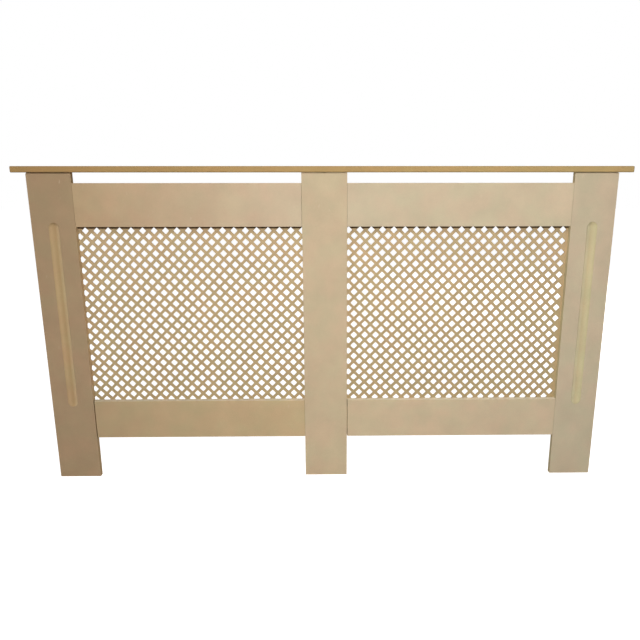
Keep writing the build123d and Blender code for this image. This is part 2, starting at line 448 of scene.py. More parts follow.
@dataclass(frozen=True)
class BoardFinish:
    """Raw fibreboard, sanded on its faces and sawn on its edges."""

    node: str  # the CAD node that the board stands for
    axis: Axis  # the way its sanded faces look
    colours: BoardColours
    tinted_along: Axis | None = None  # along its longest side where none is given
    marks: float = 1.0  # strength of the specks and scratches
    band: GluedBand | None = None
    roughness: float = 0.8
    sawn_roughness: float = 0.12  # how much rougher its cut surfaces are
    sheen: float = 0.22
    near_faces: float = 0.96  # lightness of a cut surface near the sanded faces
    midway: float = 1.02  # and midway between them
    relief: float = 0.12 * MM  # how far its fibres stand up
    sawn_relief: float = 1.5  # how many times that again on its cut surfaces

    def reach(self, way: Axis) -> Point2:
        """Where the board starts and ends along a way."""
        low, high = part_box(self.node)
        return (way.along(low), way.along(high))

    def length(self, way: Axis) -> float:
        """How long the board is along a way."""
        start, end = self.reach(way)
        return end - start

    def material(self) -> Material:
        """Builds the finish's material.

        Returns:
            The new material.
        """
        graph = MaterialGraph(f"{self.node}_finish")
        where = graph.add("ShaderNodeTexCoord")
        place, normal = where.outputs["Object"], where.outputs["Normal"]
        fibre = graph.group(pressed_fibre(), Place=place)
        cut = graph.group(
            cut_surface(),
            Place=place,
            Normal=normal,
            Face_Axis=self.axis.value,
            Middle=sum(self.reach(self.axis)) / 2,
            Half_Thickness=self.length(self.axis) / 2,
        )
        marks = graph.group(workshop_marks(), Place=place)

        looks, height = graph.parts(normal), graph.parts(place)[2]
        sawn = self.sawn(graph, cut.outputs["Core"], looks, height)
        base = graph.blend(cut.outputs["Cut"], self.colours.face, sawn)
        # Painted shadow on the sheet's front above the band's height, under the rail
        if self.band:
            front = graph.maths("LESS_THAN", looks[1], -0.5)
            covered = graph.maths("GREATER_THAN", height, self.band.above)
            base = graph.blend(graph.maths("MULTIPLY", front, covered), base, self.band.colour)
        length = self.tinted_along or max(Axis, key=self.length)
        along = graph.vector("DOT_PRODUCT", place, length.value).outputs["Value"]
        reached = graph.remap(along, *self.reach(length))
        gradient = graph.blend(reached, self.colours.start, self.colours.end)
        # Noises gather about 0.5, so each is spread out from below that to as far above
        hue = graph.remap(fibre.outputs["Hue"], 0.35, 0.65)
        drift = graph.blend(hue, WARMER, COOLER)
        tinted = graph.vector("MULTIPLY", graph.vector("MULTIPLY", base, drift), gradient)
        clouds, hairs, grit = (
            graph.remap(fibre.outputs[name], low, 1 - low, 1 - swing, 1 + swing)
            for name, low, swing in (("Tone", 0.3, 0.05), ("Hairs", 0.2, 0.1), ("Grit", 0.3, 0.05))
        )
        strength = graph.maths("MULTIPLY", clouds, graph.maths("MULTIPLY", hairs, grit))
        colour = graph.fill(graph.vector("SCALE", tinted), Scale=strength)
        for mark, cover, shown in (("Specks", 0.75, SPECK), ("Scratches", 0.25, SCRATCH)):
            covered = graph.maths("MULTIPLY", marks.outputs[mark], cover * self.marks)
            colour = graph.blend(covered, colour, shown)

        relief = graph.maths("MULTIPLY_ADD", fibre.outputs["Grit"], 0.6, fibre.outputs["Hairs"])
        coarser = graph.maths("MULTIPLY_ADD", cut.outputs["Cut"], self.sawn_relief, 1.0)
        return graph.coated(
            strength=0.35,
            depth=self.relief,
            swell=graph.maths("MULTIPLY", relief, coarser),
            Base_Color=colour,
            Roughness=graph.maths(
                "MULTIPLY_ADD", cut.outputs["Cut"], self.sawn_roughness, self.roughness
            ),
            Specular_IOR_Level=self.sheen,
        )

    def sawn(
        self, graph: NodeGraph, core: Socket, looks: Sequence[Socket], height: Socket
    ) -> Socket:
        """The colour of the cut surfaces, with light and shade painted by the way they look.

        Args:
            graph: The material's nodes.
            core: 1 midway between the sanded faces.
            looks: The three parts of the way the surface looks.
            height: Height above the floor.

        Returns:
            The colour.
        """
        tones = self.colours
        outer, inner = shade(tones.cut, self.near_faces), shade(tones.cut, self.midway)
        colour = graph.blend(core, outer, inner)
        # A surface looks a way by 1 where it faces straight that way, by less as it turns off
        # The flanks' tints paint light on the flutes' walls in part
        for side, flank in ((-1, tones.looks_left), (1, tones.looks_right)):
            turned = graph.remap(looks[0], side * 0.1, side * 0.5)
            colour = graph.vector("MULTIPLY", colour, graph.blend(turned, EVEN, flank))
        # Painted shade on the side edges outside the unshaded heights
        low, high = tones.clean
        off = graph.maths("ABSOLUTE", graph.maths("SUBTRACT", height, (low + high) / 2))
        shaded_height = graph.maths("GREATER_THAN", off, (high - low) / 2)
        way = graph.maths("MULTIPLY", looks[0], tones.scorched_way)
        chosen = graph.maths("MULTIPLY", shaded_height, graph.maths("GREATER_THAN", way, -0.5))
        sideways = graph.remap(graph.maths("ABSOLUTE", looks[0]), 0.8, 0.95)
        side_shaded = graph.maths("MULTIPLY", sideways, chosen)
        colour = graph.blend(side_shaded, colour, shade(tones.cut, tones.scorch))
        # Painted highlight, with pale dust, on what looks up
        pale_from_above = graph.remap(looks[2], 0.3, 0.8, 0.0, tones.dust)
        colour = graph.blend(pale_from_above, colour, DUST_AND_TOP_LIGHT)
        # Painted shade on what looks down, such as lower edges and the flutes' top ends
        below = graph.remap(looks[2], -0.2, -0.7)
        return graph.blend(below, colour, shade(tones.cut, tones.under))


@dataclass(frozen=True)
class SteelFinish:
    """Zinc plated steel with fine patches of plating."""

    bright: Colour
    dull: Colour
    roughness: float
    patch: float  # size of the patches
    spread: float = 0.18  # between the least rough places and the roughest

    def material(self, name: str) -> Material:
        """Builds the finish's material.

        Args:
            name: The material's name.

        Returns:
            The new material.
        """
        graph = MaterialGraph(name)
        place = graph.add("ShaderNodeTexCoord").outputs["Object"]
        patches = graph.add("ShaderNodeTexVoronoi", place, None, 1 / self.patch)
        tone = graph.add("ShaderNodeSeparateColor", patches.outputs["Color"]).outputs[0]
        smear = graph.noise(place, scale=300.0, detail=3.0)
        mixed = graph.maths("MULTIPLY_ADD", smear, 0.6, graph.maths("MULTIPLY", tone, 0.4))
        return graph.coated(
            strength=0.2,
            depth=0.04 * MM,
            swell=smear,
            Base_Color=graph.blend(mixed, self.dull, self.bright),
            Metallic=1.0,
            Roughness=graph.maths(
                "MULTIPLY_ADD", mixed, self.spread, self.roughness - self.spread / 2
            ),
        )


@dataclass(frozen=True)
class BeechFinish:
    """Pressed beech, with a fine straight grain across the biscuit."""

    pale: Colour  # between the pores
    deep: Colour  # the pores and late wood

    def material(self, name: str) -> Material:
        """Builds the finish's material.

        Args:
            name: The material's name.

        Returns:
            The new material.
        """
        graph = MaterialGraph(name)
        place = graph.add("ShaderNodeTexCoord").outputs["Object"]
        # Both run across the biscuit, so they are drawn out along X
        fine = graph.vector("MULTIPLY", place, (60.0, 900.0, 900.0))
        finest = graph.vector("MULTIPLY", place, (400.0, 2600.0, 2600.0))
        grain = graph.noise(fine, scale=1.0, detail=3.0)
        pores = graph.noise(finest, scale=1.0, detail=1.0)
        late_wood = graph.remap(grain, 0.35, 0.7, 0.0, 0.7)
        tone = graph.maths("MAXIMUM", late_wood, graph.remap(pores, 0.62, 0.7))
        return graph.coated(
            strength=0.3,
            depth=0.1 * MM,
            swell=grain,
            Base_Color=graph.blend(tone, self.pale, self.deep),
            Roughness=graph.maths("MULTIPLY_ADD", grain, 0.2, 0.55),
        )


# ---------------------------------------------------------------- mesh helpers


def in_scene(name: str, data: bpy.types.ID) -> Body:
    """Links a mesh, curve, lamp or camera into the scene as a new object.

    Args:
        name: The object's name.
        data: What it shows.

    Returns:
        The object.
    """
    made = bpy.data.objects.new(name, data)
    bpy.context.scene.collection.objects.link(made)
    return made


def evenly(start: float, end: float, count: int) -> list[float]:
    """Places from start to end, both of them included, at equal distances."""
    return [start + (end - start) * index / (count - 1) for index in range(count)]


def rectangle(low: Point2, high: Point2) -> list[Point2]:
    """The four corners of a rectangle."""
    return [low, (high[0], low[1]), high, (low[0], high[1])]


def prism(outline: Sequence[Point2], low: float, high: float, axis: Axis) -> Solid:
    """A closed prism over an outline.

    Args:
        outline: Corners in the plane across the axis, as (y, z), (x, z) or (x, y).
        low: Start along the axis.
        high: End along the axis.
        axis: The prism's axis.

    Returns:
        The prism, its faces outwards.
    """
    solid = bmesh.new()
    slot = list(Axis).index(axis)
    lower, upper = (
        [solid.verts.new((*point[:slot], along, *point[slot:])) for point in outline]
        for along in (low, high)
    )
    solid.faces.new(lower)
    solid.faces.new(upper)
    for index in range(len(outline)):
        after = (index + 1) % len(outline)
        solid.faces.new((lower[index], lower[after], upper[after], upper[index]))
    bmesh.ops.recalc_face_normals(solid, faces=solid.faces)
    return solid


def rod(start: Vector, end: Vector, radius: float, steps: int) -> Solid:
    """A closed round rod.

    Args:
        start: Middle of one end.
        end: Middle of the other end.
        radius: Radius.
        steps: Facets round the rod.

    Returns:
        The rod.
    """
    solid = bmesh.new()
    turn = (end - start).to_track_quat("Z", "Y").to_matrix().to_4x4()
    bmesh.ops.create_cone(
        solid,
        cap_ends=True,
        segments=steps,
        radius1=radius,
        radius2=radius,
        depth=(end - start).length,
        matrix=Matrix.Translation((start + end) / 2) @ turn,
    )
    return solid


def lathe(profile: Sequence[Point2], steps: int) -> Solid:
    """A form turned about Z, closed on the axis at both ends.

    Args:
        profile: Radius and height from the top point on the axis to the bottom one.
        steps: Facets round the form.

    Returns:
        The form, its faces outwards.
    """
    solid = bmesh.new()
    top, bottom = (solid.verts.new((0.0, 0.0, profile[end][1])) for end in (0, -1))
    turns = [math.tau * step / steps for step in range(steps)]
    rows = [
        [solid.verts.new((radius * math.cos(a), radius * math.sin(a), height)) for a in turns]
        for radius, height in profile[1:-1]
    ]
    for step in range(steps):
        after = (step + 1) % steps
        solid.faces.new((top, rows[0][step], rows[0][after]))
        solid.faces.new((bottom, rows[-1][after], rows[-1][step]))
        for upper, lower in zip(rows, rows[1:]):
            solid.faces.new((upper[step], lower[step], lower[after], upper[after]))
    bmesh.ops.recalc_face_normals(solid, faces=solid.faces)
    return solid


def ease(solid: Solid, edges: Iterable[bmesh.types.BMEdge], width: float, faces: int) -> None:
    """Rounds edges.

    Args:
        solid: The solid they belong to.
        edges: The edges to round.
        width: How far the round reaches from the edge.
        faces: Faces across the round.
    """
    bmesh.ops.bevel(
        solid, geom=list(edges), offset=width, segments=faces, profile=0.5, affect="EDGES"
    )


def sharp_edges(solid: Solid) -> list[bmesh.types.BMEdge]:
    """The edges that a hand with sandpaper eases."""
    return [edge for edge in solid.edges if edge.calc_face_angle(0.0) > EASED_ABOVE]


def poured(solid: Solid, mesh: bpy.types.Mesh) -> bpy.types.Mesh:
    """Writes a solid to a mesh, smooth over shallow edges and crisp over the rest.

    Args:
        solid: The solid; freed here.
        mesh: The mesh, replaced.

    Returns:
        The mesh.
    """
    for face in solid.faces:
        face.smooth = True
    for edge in solid.edges:
        edge.smooth = len(edge.link_faces) == 2 and edge.calc_face_angle(0.0) < SMOOTH_BELOW
    solid.to_mesh(mesh)
    solid.free()
    return mesh


def finished(solid: Solid, name: str) -> Body:
    """Turns a solid, which is freed here, into an object of that name."""
    return in_scene(name, poured(solid, bpy.data.meshes.new(name)))


def evaluated_mesh(shown: Body) -> bpy.types.Mesh:
    """A plain mesh of an object with its modifiers applied."""
    graph = bpy.context.evaluated_depsgraph_get()
    return bpy.data.meshes.new_from_object(shown.evaluated_get(graph), depsgraph=graph)


def remesh(shown: Body) -> Body:
    """Applies an object's modifiers for good.

    Args:
        shown: The object.

    Returns:
        The same object, its mesh replaced.
    """
    mesh = evaluated_mesh(shown)
    shown.modifiers.clear()
    old, shown.data = shown.data, mesh
    mesh.name = shown.name
    bpy.data.meshes.remove(old)
    return shown


def carve(body: Body, cutters: Sequence[Solid]) -> Body:
    """Cuts solids out of a body for good.

    Args:
        body: The object to cut.
        cutters: What is cut out; freed here.

    Returns:
        The body, its mesh replaced.
    """
    tools = [finished(cutter, f"{body.name}_cutter") for cutter in cutters]
    for tool in tools:
        cut = body.modifiers.new("cut", "BOOLEAN")
        cut.operation = "DIFFERENCE"
        cut.solver = "EXACT"
        cut.object = tool
    remesh(body)
    for tool in tools:
        bpy.data.objects.remove(tool)
    solid = bmesh.new()
    solid.from_mesh(body.data)
    bmesh.ops.remove_doubles(solid, verts=solid.verts, dist=WELD)
    poured(solid, body.data)
    return body


@dataclass
class Piece:
    """A finished piece, the CAD node it stands for and the record's slot it takes."""

    shown: Body
    node: str
    slot: Slot

    def dressed(self, material: Material) -> "Piece":
        """Gives the piece one material.

        Args:
            material: The material.

        Returns:
            The same piece.
        """
        self.shown.data.materials.clear()
        self.shown.data.materials.append(material)
        return self

    def settle(self) -> None:
        """Puts the piece on the cabinet's body for its node, its broad faces shaded flat."""
        weighted = self.shown.modifiers.new("broad_faces_flat", "WEIGHTED_NORMAL")
        weighted.keep_sharp = True
        remesh(self.shown)
        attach(self.shown, ROOT_BODY)
        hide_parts(self.node)
        log.info("%s stands for %s", self.shown.name, self.node)


# ---------------------------------------------------------------- fixings


@dataclass(frozen=True)
class Corner:
    """An inside corner that an angle bracket sits in."""

    point: Vector  # midway across the bracket
    first: Vector  # the way the first leg runs
    second: Vector
    reach: float = 20.0 * MM  # of each leg's hole from the corner

    def seats(self) -> list[Seat]:
        """Where each leg's screw enters the board, and the way out of the board there."""
        ways = ((self.first, self.second), (self.second, self.first))
        return [(self.point + leg * self.reach, out) for leg, out in ways]


def bracket_corners() -> dict[str, list[Corner]]:
    """The corners that hold brackets, read from the boards round them.

    Returns:
        By node: under the shelf at both side panels and at the centre stile, and at the wall on
        both side panels, level with the top rails.
    """
    low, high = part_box("side_panel_left")
    rail_low, rail_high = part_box("top_rail_left")
    down, forward, backward = Vector((0, 0, -1)), Vector((0, -1, 0)), Vector((0, 1, 0))
    corners = {}
    for node, y, z, second in (
        ("shelf_brackets", (low.y + high.y) / 2, high.z, down),
        ("wall_brackets", high.y, (rail_low.z + rail_high.z) / 2, forward),
    ):
        corners[node] = [
            Corner(
                Vector((hand.inner(f"side_panel_{hand.word}"), y, z)),
                Vector((-hand.value, 0, 0)),
                second,
            )
            for hand in Hand
        ]
    behind = Vector((0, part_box("centre_stile")[1].y, high.z))
    corners["shelf_brackets"].append(Corner(behind, backward, down))
    return corners


def screw_seats() -> dict[str, list[Seat]]:
    """Where the bracket screws enter the boards, and the ways out of the boards there.

    Returns:
        The seats by the screws' node.
    """
    shelf, wall = bracket_corners().values()
    # The screw through a wall bracket's first leg goes into the wall, and isn't part of this
    return {
        "shelf_bracket_screws": [seat for corner in shelf for seat in corner.seats()],
        "wall_bracket_screws": [corner.seats()[1] for corner in wall],
    }


@dataclass
class Brackets:
    """Bent steel angles with a round hole in each leg."""

    leg: float = 30.0 * MM
    width: float = 20.0 * MM
    thickness: float = 2.0 * MM
    bend: float = 3.0 * MM  # outer radius
    bend_steps: int = 6
    hole_radius: float = 2.5 * MM
    hole_steps: int = 32
    end_round: float = 3.0 * MM  # on the corners of the free ends
    arris: float = 0.2 * MM
    finish: SteelFinish = SteelFinish(srgb(205, 208, 212), srgb(168, 172, 178), 0.34, 4 * MM)

    def build(self) -> list[Piece]:
        """Makes and dresses both groups of brackets.

        Returns:
            One piece for the shelf's brackets and one for the wall's.
        """
        steel = self.finish.material("bracket_zinc")
        pieces = []
        for node, corners in bracket_corners().items():
            group = bmesh.new()
            for corner in corners:
                bent = self.bracket(corner)
                group.from_mesh(bent.data)
                bpy.data.objects.remove(bent)
            shown = finished(group, f"{node}_bent")
            pieces.append(Piece(shown, node, Slot.ZINC_STEEL).dressed(steel))
        return pieces

    def bracket(self, corner: Corner) -> Body:
        """Makes one bracket in its corner, with its holes drilled.

        Args:
            corner: The corner.

        Returns:
            The bracket.
        """
        quarter = evenly(0.0, QUARTER_TURN, self.bend_steps + 1)
        bend, inner = self.bend, self.bend - self.thickness
        outline = [
            *((bend - bend * math.cos(turn), bend - bend * math.sin(turn)) for turn in quarter),
            (self.leg, 0.0),
            (self.leg, self.thickness),
            *((bend - inner * math.sin(turn), bend - inner * math.cos(turn)) for turn in quarter),
            (self.thickness, self.leg),
            (0.0, self.leg),
        ]
        solid = prism(outline, -self.width / 2, self.width / 2, Axis.Z)
        free_corners = [
            edge
            for edge in solid.edges
            if abs(edge.calc_length() - self.thickness) < self.arris
            and max(max(vert.co.x, vert.co.y) for vert in edge.verts) > self.leg - self.arris
            and abs(edge.verts[0].co.z - edge.verts[1].co.z) < self.arris
        ]
        ease(solid, free_corners, self.end_round, faces=5)
        ease(solid, sharp_edges(solid), self.arris, faces=1)
        across = corner.first.cross(corner.second)
        basis = Matrix((corner.first, corner.second, across)).transposed().to_4x4()
        seated = Matrix.Translation(corner.point) @ basis
        bmesh.ops.transform(solid, matrix=seated, verts=solid.verts)
        bmesh.ops.recalc_face_normals(solid, faces=solid.faces)
        through = self.thickness
        drills = [
            rod(seat - out * through, seat + out * 2 * through, self.hole_radius, self.hole_steps)
            for seat, out in corner.seats()
        ]
        return carve(finished(solid, "bracket"), drills)


class ModellingTree(NodeGroup):
    """A Geometry Nodes tree with named inputs, run once on a carrier mesh."""

    def __init__(self, name: str) -> None:
        """Makes the tree with a geometry input and output."""
        super().__init__(name, "GeometryNodeTree")
        self.tree.is_modifier = True
        self.values: dict[str, object] = {}
        for way in ("INPUT", "OUTPUT"):
            self.socket("Geometry", way, "Geometry")

    def sizes(self, kind: str, **values: object) -> list[Socket]:
        """Named inputs with their values for this run.

        Args:
            kind: Float, Int, Vector, Object or Material.
            values: The values by input name, with an underscore for each space.

        Returns:
            The sockets that carry them inside the tree.
        """
        sockets = []
        for name, value in values.items():
            item = self.socket(name.replace("_", " "), "INPUT", kind)
            self.values[item.identifier] = value
            sockets.append(self.ins.outputs[item.name])
        return sockets

    def joined(self, *parts: object) -> Node:
        """Several geometries as one.

        Args:
            parts: The geometries.

        Returns:
            The node that joins them.
        """
        node = self.add("GeometryNodeJoinGeometry")
        for part in parts:
            self.feed(node.inputs[0], part)
        return node

    def moved(self, geometry: object, **values: object) -> Node:
        """A geometry moved or turned."""
        return self.fill(self.add("GeometryNodeTransform", geometry), **values)

    def on_points(self, points: object, **values: object) -> Node:
        """A copy on every point."""
        return self.fill(self.add("GeometryNodeInstanceOnPoints", points), **values)

    def run(self, geometry: object, material: Material, carrier: Body) -> Body:
        """Ends the tree in Realize Instances and Set Material, and runs it.

        Args:
            geometry: The geometry so far.
            material: What it is made of.
            carrier: The object whose mesh goes in, and is replaced by the plain result.

        Returns:
            The carrier.
        """
        (dressing,) = self.sizes("Material", Material=material)
        whole = self.add("GeometryNodeRealizeInstances", geometry)
        dressed = self.fill(self.add("GeometryNodeSetMaterial", whole), Material=dressing)
        self.feed(self.outs.inputs[0], dressed)
        modifier = carrier.modifiers.new("nodes", "NODES")
        modifier.node_group = self.tree
        for identifier, value in self.values.items():
            modifier[identifier] = value
        return remesh(carrier)


@dataclass(frozen=True)
class Fixing:
    """Where one screw or staple sits."""

    place: Vector  # the underside of its head, or its crown's inner side
    out: Vector  # the way out of the board
    along: Vector  # the way its slot or crown lies

    def turn(self) -> Euler:
        """The turn that stands a fixing modelled along Z in its place."""
        third = self.out.cross(self.along)
        return Matrix((self.along, third, self.out)).transposed().to_euler()


@dataclass(frozen=True)
class Driven:
    """Copies of one fixing, each turned a little by a fixed seed."""

    sway: float  # largest turn to either side, in radians
    material: Material
    seed: int = 7

    def piece(self, node: str, master: Body, fixings: Sequence[Fixing]) -> Piece:
        """Puts a copy of one fixing at every place.

        Args:
            node: The CAD node that the copies stand for.
            master: The one fixing, along Z; removed here.
            fixings: Where the copies sit.

        Returns:
            One piece with every copy.
        """
        mesh = bpy.data.meshes.new(node)
        mesh.from_pydata([tuple(fixing.place) for fixing in fixings], [], [])
        turns = mesh.attributes.new("turn", "FLOAT_VECTOR", "POINT")
        for item, fixing in zip(turns.data, fixings):
            item.vector = tuple(fixing.turn())

        tree = ModellingTree("driven_fixings")
        (model,) = tree.sizes("Object", Fixing=master)
        (widest,) = tree.sizes("Float", Sway=self.sway)
        (seed,) = tree.sizes("Int", Seed=self.seed)
        points = tree.add("GeometryNodeMeshToPoints", tree.ins.outputs["Geometry"])
        stood = tree.add("GeometryNodeInputNamedAttribute", "turn", data_type="FLOAT_VECTOR")
        swayed = tree.add("FunctionNodeRandomValue", data_type="FLOAT")
        tree.fill(swayed, Min=tree.maths("MULTIPLY", widest, -1.0), Max=widest, Seed=seed)
        spin = tree.add("ShaderNodeCombineXYZ", 0.0, 0.0, swayed.outputs[1])
        turned = tree.add("FunctionNodeRotateRotation", rotation_space="LOCAL")
        tree.fill(turned, Rotation=stood, Rotate_By=tree.add("FunctionNodeEulerToRotation", spin))
        one = tree.fill(tree.add("GeometryNodeObjectInfo"), Object=model)
        copies = tree.on_points(points, Instance=one.outputs["Geometry"], Rotation=turned)
        shown = tree.run(copies, self.material, in_scene(f"{node}_driven", mesh))
        bpy.data.objects.remove(master)
        return Piece(shown, node, Slot.ZINC_STEEL)


@dataclass
class Screws:
    """Pan head screws with a cross recess, through the brackets into the boards."""

    radius: float = 2.0 * MM  # over the thread
    core: float = 1.4 * MM  # radius between the threads
    length: float = 12.0 * MM  # under the head
    tip: float = 3.0 * MM
    pitch: float = 1.4 * MM
    head_radius: float = 4.0 * MM
    head_height: float = 2.2 * MM
    recess: float = 4.2 * MM  # width over the recess's arms
    slot: float = 0.9 * MM  # width of one arm
    steps: int = 24
    brackets: Brackets = field(default_factory=Brackets)
    finish: SteelFinish = SteelFinish(srgb(214, 214, 210), srgb(176, 178, 178), 0.28, 2 * MM)

    def master(self) -> Body:
        """Makes one screw along Z, the underside of its head at the origin.

        Returns:
            The screw.
        """
        # The head from its top, in parts of its radius and height
        dome = [(0.0, 1.0), (0.35, 0.98), (0.6, 0.88), (0.82, 0.66), (0.96, 0.34), (1.0, 0.12)]
        dome.append((0.97, 0.0))
        profile = [(across * self.head_radius, up * self.head_height) for across, up in dome]
        profile.append((self.core, 0.0))
        depth = self.pitch / 2
        crest, root = self.pitch * 0.3, self.pitch * 0.6  # below the start of each turn
        while depth < self.length - self.tip:
            profile += [(self.core, -depth), (self.radius, -depth - crest)]
            profile.append((self.core, -depth - root))
            depth += self.pitch
        profile += [(self.core * 0.45, -self.length + self.tip * 0.3), (0.0, -self.length)]
        floor, over = self.head_height * 0.3, self.head_height * 2  # of the recess's arms
        arms = []
        for across, along in ((self.recess, self.slot), (self.slot, self.recess)):
            outline = rectangle((-across / 2, -along / 2), (across / 2, along / 2))
            arms.append(prism(outline, floor, over, Axis.Z))
        return carve(finished(lathe(profile, self.steps), "screw"), arms)

    def build(self) -> list[Piece]:
        """Makes and dresses both groups of screws.

        Returns:
            One piece for the shelf's brackets and one for the wall's.
        """
        driven = Driven(QUARTER_TURN, self.finish.material("screw_zinc"))
        pieces = []
        for node, seats in screw_seats().items():
            fixings = [
                Fixing(seat + out * self.brackets.thickness, out, out.orthogonal())
                for seat, out in seats
            ]
            pieces.append(driven.piece(node, self.master(), fixings))
        return pieces


@dataclass
class Staples:
    """Staples that hold each grille to the back of the frame."""

    crown: float = 12.0 * MM  # width over the crown
    leg: float = 10.0 * MM
    wire: float = 1.2 * MM
    bend_steps: int = 3
    inset: float = 23.0 * MM  # of the rows, from the bay on to the boards
    along: int = 5  # how many along each rail
    up: int = 4  # how many up each stile
    sway: float = 0.04  # largest turn to either side, in radians
    finish: SteelFinish = SteelFinish(srgb(210, 208, 200), srgb(170, 168, 162), 0.32, 3 * MM)

    def master(self) -> Body:
        """Makes one staple along Z, its crown along X, the crown's inner side at the origin.

        Returns:
            The staple.
        """
        half, bend, top = (self.crown - self.wire) / 2, self.wire, self.wire / 2
        path = [(-half, -self.leg)]
        for centre, start in ((bend - half, math.pi), (half - bend, QUARTER_TURN)):
            for turn in evenly(start, start - QUARTER_TURN, self.bend_steps + 1):
                path.append((centre + bend * math.cos(turn), top - bend + bend * math.sin(turn)))
        path.append((half, -self.leg))
        line = bpy.data.curves.new("staple_wire", "CURVE")
        line.dimensions = "3D"
        line.bevel_depth = self.wire / 2
        line.bevel_resolution = 2
        line.use_fill_caps = True
        run = line.splines.new("POLY")
        run.points.add(len(path) - 1)
        for point, (across, height) in zip(run.points, path):
            point.co = (across, 0.0, height, 1.0)
        drawn = in_scene("staple_wire", line)
        made = in_scene("staple", evaluated_mesh(drawn))
        bpy.data.objects.remove(drawn)
        return made

    def build(self) -> list[Piece]:
        """Makes and dresses the staples of both grilles.

        Returns:
            One piece for each grille.
        """
        driven = Driven(self.sway, self.finish.material("staple_wire_zinc"))
        along, up, out = Vector((1, 0, 0)), Vector((0, 0, 1)), Vector((0, 1, 0))
        pieces = []
        for hand in Hand:
            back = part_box(f"grille_{hand.word}")[1].y
            left, right, bottom, top = hand.bay()
            fixings = [
                Fixing(Vector((x, back, z)), out, along)
                for z in (bottom - self.inset, top + self.inset)
                for x in evenly(left + self.inset, right - self.inset, self.along)
            ]
            fixings += [
                Fixing(Vector((x, back, z)), out, up)
                for x in (left - self.inset, right + self.inset)
                for z in evenly(bottom + self.inset, top - self.inset, self.up)
            ]
            node = f"grille_staples_{hand.word}"
            pieces.append(driven.piece(node, self.master(), fixings))
        return pieces


# ---------------------------------------------------------------- boards


PLAIN_FACE = srgb(205, 184, 152)
PLAIN_CUT = srgb(205, 182, 140)
# Painted deep shade on the rails' end faces, in the seams, and painted light with dust on their
# upper edges
RAIL_EDGES = {"scorch": 0.3, "clean": (0.0, 0.0), "dust": 1.0}


@dataclass
class Boards:
    """What every group of boards is made with."""

    arris: float = 0.4 * MM  # how far sharp edges are eased
    pilot_radius: float = 2.1 * MM
    pilot_depth: float = 11.0 * MM
    pilot_steps: int = 20

    def piece(
        self,
        node: str,
        axis: Axis,
        solid: Solid,
        colours: BoardColours,
        cutters: Sequence[Solid] = (),
    ) -> Piece:
        """Cuts, dresses and names one board.

        Args:
            node: The CAD node it stands for.
            axis: The way its sanded faces look.
            solid: Its shape before cutting; freed here.
            colours: Its colours.
            cutters: What is cut out of it; freed here.

        Returns:
            The board as a piece.
        """
        board = finished(solid, f"{node}_board")
        if cutters:
            carve(board, cutters)
        look = BoardFinish(node, axis, colours)
        return Piece(board, node, Slot.RAW_BOARD).dressed(look.material())

    def pilots(self, node: str) -> list[Solid]:
        """Makes drills for the bracket screws that go into a board.

        Args:
            node: The board's CAD node.

        Returns:
            One drill for each screw seat on its surface.
        """
        low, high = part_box(node)
        drills = []
        for seats in screw_seats().values():
            for seat, out in seats:
                inside = seat - out * self.pilot_depth / 2
                if all(low[index] < inside[index] < high[index] for index in range(3)):
                    start, end = seat + out * self.pilot_radius, seat - out * self.pilot_depth
                    drills.append(rod(start, end, self.pilot_radius, self.pilot_steps))
        return drills


@dataclass
class Flute:
    """Stopped flute cut by a ball-nosed cutter whose centre stays proud of the wood."""

    width: float = 26.0 * MM
    depth: float = 6.0 * MM
    past_bottom: float = 15.0 * MM  # how far it runs below the bay's bottom
    past_top: float = 11.0 * MM
    steps: int = 72

    def cutter(self, middle: float, front: float, low: float, high: float) -> Solid:
        """The cutter's swept form.

        Args:
            middle: The flute's middle along X.
            front: The stile's front face along Y.
            low: The bay's bottom.
            high: The bay's top.

        Returns:
            The form to cut out.
        """
        half = self.width / 2
        radius = (half**2 + self.depth**2) / (2 * self.depth)
        bottom, top = low - self.past_bottom + half, high + self.past_top - half
        lean = evenly(0.0, QUARTER_TURN, self.steps // 4 + 1)
        profile = [(radius * math.sin(turn), top + radius * math.cos(turn)) for turn in lean]
        profile += [(radius * math.cos(turn), bottom - radius * math.sin(turn)) for turn in lean]
        solid = lathe(profile, self.steps)
        axis_y = front + self.depth - radius
        bmesh.ops.translate(solid, vec=(middle, axis_y, 0.0), verts=solid.verts)
        return solid


@dataclass(frozen=True)
class FrameBoard:
    """What sets one board of the frame apart."""

    colours: BoardColours
    seams: Point2 = (0.0, 0.0)  # gaps at a rail's left and right end, closed at the back
    shadow: float = 0.0  # height of the narrow gap under the shelf in front of a stile
